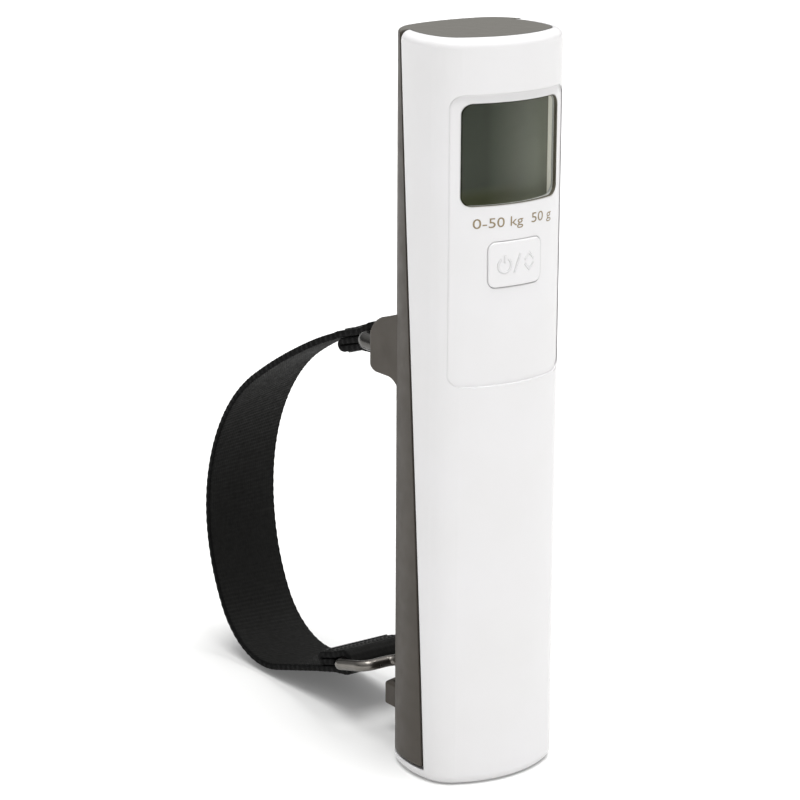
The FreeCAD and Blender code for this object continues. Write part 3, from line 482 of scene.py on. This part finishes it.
def strap_centre():
    """The middle of the single layer between the two hems, in the YZ plane, and both bars."""
    ring_bar = JOINT_PLACES["strap_swing"][1:] / MM
    hook_bar = JOINT_PLACES["hook_lift"][1:] / MM
    angle = -HEM_SLOPE
    points = [ring_bar + heading(angle) * (RING_WIRE + RING_HEM) + heading(angle + 90) * OUTER_LAYER]
    for radius, turn in BENDS:
        centre = points[-1] - heading(angle + 90) * radius
        for part in np.linspace(0, turn, round(radius * math.radians(turn) / ARC_STEP))[1:]:
            points.append(centre + heading(angle - part + 90) * radius)
        angle -= turn
    end = hook_bar + heading(-HEM_SLOPE) * (HOOK_WIRE + HOOK_HEM) - heading(90 - HEM_SLOPE) * OUTER_LAYER
    steps = round(np.linalg.norm(end - points[-1]) / ARC_STEP)
    points += list(np.linspace(points[-1], end, steps + 1)[1:])
    return np.array(points), ring_bar, hook_bar


def hem_line(bar, side, wire, length):
    """One end of the strap in a hem, from its tucked raw end to where the single layer starts.

    Worked out along the hem (u) and across it (v), where the layer that carries on is at +v.
    """
    end = wire + length
    wrap = wire + LAYER / 2 + WRAP_CLEARANCE
    start = wire + LAYER + LAYERS_START
    fold = np.radians(np.linspace(90, -90, FOLD_POINTS))
    loop = np.radians(np.linspace(WRAP_FROM, WRAP_TO, RUN_POINTS))

    def run(first, last, level):
        return np.stack([np.linspace(first, last, RUN_POINTS), np.full(RUN_POINTS, level)], axis=1)

    parts = [
        run(start - RAW_END_REACH, end - LAYER, 0.0),
        np.stack([end - LAYER + LAYER * FOLD_BULGE * np.cos(fold), LAYER / 2 * (np.sin(fold) - 1)], axis=1),
        run(end - LAYER, start, -LAYER),
        np.stack([wrap * np.cos(loop), wrap * np.sin(loop)], axis=1),
        run(start, end, LAYER),
    ]
    u, v = np.concatenate(parts).T
    along, across = heading(-HEM_SLOPE), heading(90 - HEM_SLOPE) * side
    return bar + u[:, None] * along + v[:, None] * across


def even(line, step):
    """The line again with points an even step apart."""
    lengths = np.concatenate([[0], np.cumsum(np.linalg.norm(np.diff(line, axis=0), axis=1))])
    at = np.linspace(0, lengths[-1], round(lengths[-1] / step) + 1)
    return np.stack([np.interp(at, lengths, line[:, axis]) for axis in range(line.shape[1])], axis=1)


def smoothed(line, width):
    """The line with its corners rounded over about that many points."""
    reach = 3 * width
    weights = np.exp(-0.5 * (np.arange(-reach, reach + 1) / width) ** 2)
    weights /= weights.sum()
    padded = np.concatenate([line[:1].repeat(reach, 0), line, line[-1:].repeat(reach, 0)])
    made = np.stack([np.convolve(padded[:, axis], weights, "valid") for axis in range(line.shape[1])], axis=1)
    made[0], made[-1] = line[0], line[-1]
    return made


def strap_line():
    """The whole strap's middle line, from one raw end to the other, with each point's lean."""
    centre, ring_bar, hook_bar = strap_centre()
    ring_end = hem_line(ring_bar, 1, RING_WIRE, RING_HEM)
    hook_end = hem_line(hook_bar, -1, HOOK_WIRE, HOOK_HEM)[::-1]
    share = np.linspace(0, 1, len(centre))
    lean = smoothed(np.interp(share, LEAN_SHARES, LEAN)[:, None], LEAN_SMOOTHING)
    centre = np.column_stack([centre, lean])[SETTLE_POINTS:-SETTLE_POINTS]
    ring_end = np.column_stack([ring_end, np.zeros(len(ring_end))])
    hook_end = np.column_stack([hook_end, np.zeros(len(hook_end))])
    line = np.concatenate([ring_end, centre, hook_end])
    return smoothed(even(line, LINE_STEP), LINE_SMOOTHING)


def strap_sections(line):
    """Rings of points round the webbing, with a rib every pitch and scalloped edges."""
    line = even(line, STEP)
    line, leans = line[:, :2], line[:, 2]
    along = np.gradient(line, axis=0)
    along /= np.linalg.norm(along, axis=1)[:, None]
    normal = np.stack([-along[:, 1], along[:, 0]], axis=1)
    turning = np.cross(np.roll(along, 1, axis=0), along) / STEP
    turning[0] = turning[-1] = 0
    at = np.arange(len(line)) * STEP
    across = np.sin(np.linspace(-0.5, 0.5, ACROSS_POINTS) * math.pi)
    half = LAYER / 2 - LAYER_GAP
    rings = []
    for place, out, bend, s, lean in zip(line, normal, turning, at, leans):
        rib = 0.5 + 0.5 * math.cos(2 * math.pi * s / RIB)
        scallop = 0.5 + 0.5 * math.cos(math.pi * s / RIB)
        width = STRAP_HALF_WIDTH + SCALLOP * scallop
        edge = np.clip((1 - np.abs(across)) * width / EDGE_ROUND, 0, 1)
        body = half - RIB_DEPTH * (1 - rib) * edge
        thick = body * np.sqrt(1 - EDGE_THINNING * (1 - edge) ** 2)
        inner_limit = INNER_SHARE / max(abs(bend), 1e-6)
        upper = np.minimum(thick, inner_limit) if bend > 0 else thick
        lower = thick if bend > 0 else np.minimum(thick, inner_limit)
        x = across * width
        x = np.concatenate([x, x[::-1]])
        offset = np.concatenate([upper, -lower[::-1]]) + lean * x / STRAP_HALF_WIDTH
        yz = place + offset[:, None] * out
        rings.append(np.column_stack([x, yz]))
    return np.array(rings) * MM


LINE = strap_line()
points, faces = lofted(strap_sections(LINE))
webbing = mesh_piece("strap_webbing", points, faces, WEBBING)
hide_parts("strap")
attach(webbing, "strap")


def stitches(bar, wire, length, name):
    """Rows of zigzag stitching over both faces of a hem."""
    along, across = heading(-HEM_SLOPE), heading(90 - HEM_SLOPE)
    parts = []
    first, last = STITCH_ROWS
    for row in (wire + LAYER + first, wire + length - last):
        for face in (1, -1):
            knots = np.arange(-STITCH_REACH, STITCH_REACH + 0.01, STITCH_PITCH)
            x = np.repeat(knots, 2)[1:-1]
            u = row + STITCH_SWING * np.where(np.arange(len(knots)) % 2, 1, -1).repeat(2)[1:-1]
            v = np.full(len(x), HEM_THICKNESS / 2)
            line = even(np.column_stack([x, u, v]), THREAD_STEP)
            lift = np.abs(np.sin(math.pi * (line[:, 1] - row + STITCH_SWING) / (2 * STITCH_SWING)))
            line[:, 2] += STITCH_CROWN * lift - STITCH_SINK
            yz = bar + line[:, 1:2] * along + face * line[:, 2:3] * across
            parts.append(tube(np.column_stack([line[:, 0], yz]) * MM, THREAD_RADIUS * MM, THREAD_SIDES))
    points, faces = merged(parts)
    made = mesh_piece(name, points, faces, THREAD)
    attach(made, "strap")
    return made


_, RING_BAR, HOOK_BAR = strap_centre()
STITCHES = [
    stitches(RING_BAR, RING_WIRE, RING_HEM, "ring_hem_stitches"),
    stitches(HOOK_BAR, HOOK_WIRE, HOOK_HEM, "hook_hem_stitches"),
]


# ---------------------------------------------------------------- marks on the front


def surface_of(node):
    """A finder of points on a CAD node's surface."""
    data = NODES[node].data
    return BVHTree.FromPolygons([v.co for v in data.vertices], [tuple(p.vertices) for p in data.polygons])


def laid_on(tree, points, lift):
    """Flat points (x, depth, z) put on a surface that faces -Y, each as far proud as its depth says."""
    made = []
    for x, depth, z in points:
        hit = tree.ray_cast(Vector((x, -0.1, z)), Vector((0, 1, 0)))[0]
        made.append((x, hit.y - lift * depth, z))
    return made


def text_mesh(words, size):
    """Points and faces of flat lettering, with x to the right and y up."""
    curve = bpy.data.curves.new("lettering", "FONT")
    curve.body = words
    curve.size = size
    curve.resolution_u = 4
    holder = bpy.data.objects.new("lettering", curve)
    bpy.context.scene.collection.objects.link(holder)
    bpy.context.view_layer.update()
    mesh = bpy.data.meshes.new_from_object(holder.evaluated_get(bpy.context.evaluated_depsgraph_get()))
    points = np.array([v.co for v in mesh.vertices])
    faces = [tuple(p.vertices) for p in mesh.polygons]
    bpy.data.objects.remove(holder)
    bpy.data.curves.remove(curve)
    bpy.data.meshes.remove(mesh)
    return points, faces


MARKS_LEFT = -9.9 * MM
MARKS_WIDTH = 20.2 * MM
MARKS_BASE = 121.3 * MM
MARKS_SIZE = 2.9 * MM
MARKS_LIFT = 0.03 * MM
SYMBOL_LIFT = 0.1 * MM
SYMBOL_STROKE = 0.62 * MM
# across a stroke: place as a share of its width, and height as a share of its lift
STROKE_PROFILE = ((-0.5, -0.4), (-0.26, 1.0), (0.26, 1.0), (0.5, -0.4))
STROKE_POINTS = 14
RING_POINTS = 40
# sizes and places of the button's symbols, in millimetres from its middle
POWER_X = -3.1
POWER_Z = -0.2
POWER_RADIUS = 1.5
# degrees left open on each side of the ring's top
POWER_GAP = 32
POWER_BAR = (0.3, 1.9)
SLASH = (0.75, 1.9)
ARROW_X = 3.2
ARROW_HALF_WIDTH = 1.2
ARROW_BASE = 0.45
ARROW_TIP = 1.75


def capacity_marks():
    """Range and graduation in plain figures, printed under the display."""
    tree = surface_of("front_shell")
    points, faces = text_mesh("0-50 kg  50 g", MARKS_SIZE)
    low, high = points.min(0), points.max(0)
    scale = MARKS_WIDTH / (high[0] - low[0])
    flat = [(MARKS_LEFT + (x - low[0]) * scale, 1.0, MARKS_BASE + y) for x, y, _ in points]
    made = mesh_piece("capacity_marks", laid_on(tree, flat, MARKS_LIFT), faces, PRINT, smooth=False)
    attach(made, "handle")


def stroke(path, width):
    """A raised line on a flat face, as rings of (x, depth, z), along a path of (x, z)."""
    along = np.gradient(path, axis=0)
    along /= np.linalg.norm(along, axis=1)[:, None]
    side = np.stack([-along[:, 1], along[:, 0]], axis=1)
    rings = []
    for place, out in zip(path, side):
        ring = []
        for share, depth in STROKE_PROFILE:
            x, z = place + out * share * width
            ring.append((x, depth, z))
        rings.append(ring)
    return lofted(np.array(rings))


def line_between(start, end):
    return np.linspace(start, end, STROKE_POINTS)


def button_symbols():
    """A power ring, a slash and two chevrons, raised on the button."""
    low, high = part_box("button_cap")
    level = (low.z + high.z) / 2

    def at(x, z):
        return np.array([x * MM, level + z * MM])

    turns = np.radians(np.linspace(90 + POWER_GAP, 450 - POWER_GAP, RING_POINTS))
    ring_x = POWER_X + POWER_RADIUS * np.cos(turns)
    ring_z = POWER_Z + POWER_RADIUS * np.sin(turns)
    bar_low, bar_high = POWER_BAR
    slash_x, slash_z = SLASH
    strokes = [
        np.stack([ring_x, ring_z], axis=1) * MM + (0, level),
        line_between(at(POWER_X, bar_low), at(POWER_X, bar_high)),
        line_between(at(-slash_x, -slash_z), at(slash_x, slash_z)),
    ]
    for up in (1, -1):
        left, tip, right = (
            at(ARROW_X - ARROW_HALF_WIDTH, up * ARROW_BASE),
            at(ARROW_X, up * ARROW_TIP),
            at(ARROW_X + ARROW_HALF_WIDTH, up * ARROW_BASE),
        )
        strokes.append(np.concatenate([line_between(left, tip), line_between(tip, right)[1:]]))
    points, faces = merged([stroke(path, SYMBOL_STROKE) for path in strokes])
    raised = laid_on(surface_of("button_cap"), points, SYMBOL_LIFT)
    made = mesh_piece("button_symbols", raised, faces, BUTTON_WHITE, smooth=False)
    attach(made, "button")


capacity_marks()
button_symbols()


# ---------------------------------------------------------------- room, light and camera


FLOOR_REACH = 60.0
FLOOR_LINES = 25


def floor_piece():
    """A pale floor that glows a little and ends out of sight."""
    steps = np.linspace(-FLOOR_REACH, FLOOR_REACH, FLOOR_LINES)
    points = [(x, y, 0.0) for y in steps for x in steps]
    count = FLOOR_LINES
    faces = [
        (row * count + col, row * count + col + 1, (row + 1) * count + col + 1, (row + 1) * count + col)
        for row in range(count - 1)
        for col in range(count - 1)
    ]
    look = Look("pale_floor", Roughness=0.85, Specular_IOR_Level=0.2, Emission_Strength=0.12)
    look.shader.inputs["Emission Color"].default_value = (1.0, 1.0, 1.0, 1.0)
    look.mottle(colour(212, 212, 211), colour(216, 216, 215), look.noise(3, 2))
    made = mesh_piece("floor", points, faces, look.material, smooth=False)


def soft_light(name, azimuth, elevation, distance, width, height, power):
    """An area light that looks at the middle of the handle. Azimuth 0 is in front, and + is to the right."""
    aim = Vector((0, 0, 0.08))
    turn, rise = math.radians(azimuth), math.radians(elevation)
    place = aim + distance * Vector(
        (math.sin(turn) * math.cos(rise), -math.cos(turn) * math.cos(rise), math.sin(rise))
    )
    data = bpy.data.lights.new(name, "AREA")
    data.shape = "RECTANGLE"
    data.size, data.size_y = width, height
    data.energy = power
    lamp = bpy.data.objects.new(name, data)
    lamp.location = place
    lamp.rotation_euler = (aim - place).to_track_quat("-Z", "Y").to_euler()
    bpy.context.scene.collection.objects.link(lamp)


def studio():
    """A plain grey surround that is brighter overhead, a wide overhead sun and one soft light in front."""
    world = bpy.data.worlds.new("studio")
    bpy.context.scene.world = world
    world.use_nodes = True
    tree = world.node_tree
    background = tree.nodes["Background"]
    place = tree.nodes.new("ShaderNodeTexCoord")
    split = tree.nodes.new("ShaderNodeSeparateXYZ")
    ramp = tree.nodes.new("ShaderNodeValToRGB")
    tree.links.new(place.outputs["Generated"], split.inputs["Vector"])
    tree.links.new(split.outputs["Z"], ramp.inputs["Fac"])
    tree.links.new(ramp.outputs["Color"], background.inputs["Color"])
    ramp.color_ramp.elements[0].position = 0.3
    ramp.color_ramp.elements[0].color = (0.27, 0.27, 0.27, 1)
    ramp.color_ramp.elements[1].position = 1.0
    ramp.color_ramp.elements[1].color = (1.2, 1.2, 1.21, 1)
    background.inputs["Strength"].default_value = 1.0
    sun = bpy.data.lights.new("overhead", "SUN")
    sun.energy = 3.3
    sun.angle = math.radians(50)
    lamp = bpy.data.objects.new("overhead", sun)
    lamp.rotation_euler = (math.radians(8), 0, 0)
    bpy.context.scene.collection.objects.link(lamp)
    soft_light("key", azimuth=16, elevation=22, distance=1.3, width=0.8, height=1.2, power=1.2)


CAMERA_PLACE = Vector((-0.35427, -0.46635, 0.24700))
CAMERA_AIM = Vector((-0.01408, 0.01005, 0.08158))
CAMERA_ROLL = math.radians(0.265)
CAMERA_LENS = 130.03


def photo_camera():
    """A long lens to the left of the display, looking slightly down."""
    forward = (CAMERA_AIM - CAMERA_PLACE).normalized()
    right = forward.cross(Vector((0, 0, 1))).normalized()
    up = right.cross(forward)
    cos, sin = math.cos(CAMERA_ROLL), math.sin(CAMERA_ROLL)
    right, up = right * cos + up * sin, up * cos - right * sin
    data = bpy.data.cameras.new("camera")
    data.sensor_width = 36
    data.lens = CAMERA_LENS
    made = bpy.data.objects.new("camera", data)
    turned = Matrix((right, up, -forward)).transposed().to_4x4()
    made.matrix_world = Matrix.Translation(CAMERA_PLACE) @ turned
    bpy.context.scene.collection.objects.link(made)
    bpy.context.scene.camera = made


floor_piece()
studio()
photo_camera()
bpy.context.scene.view_settings.view_transform = "Standard"
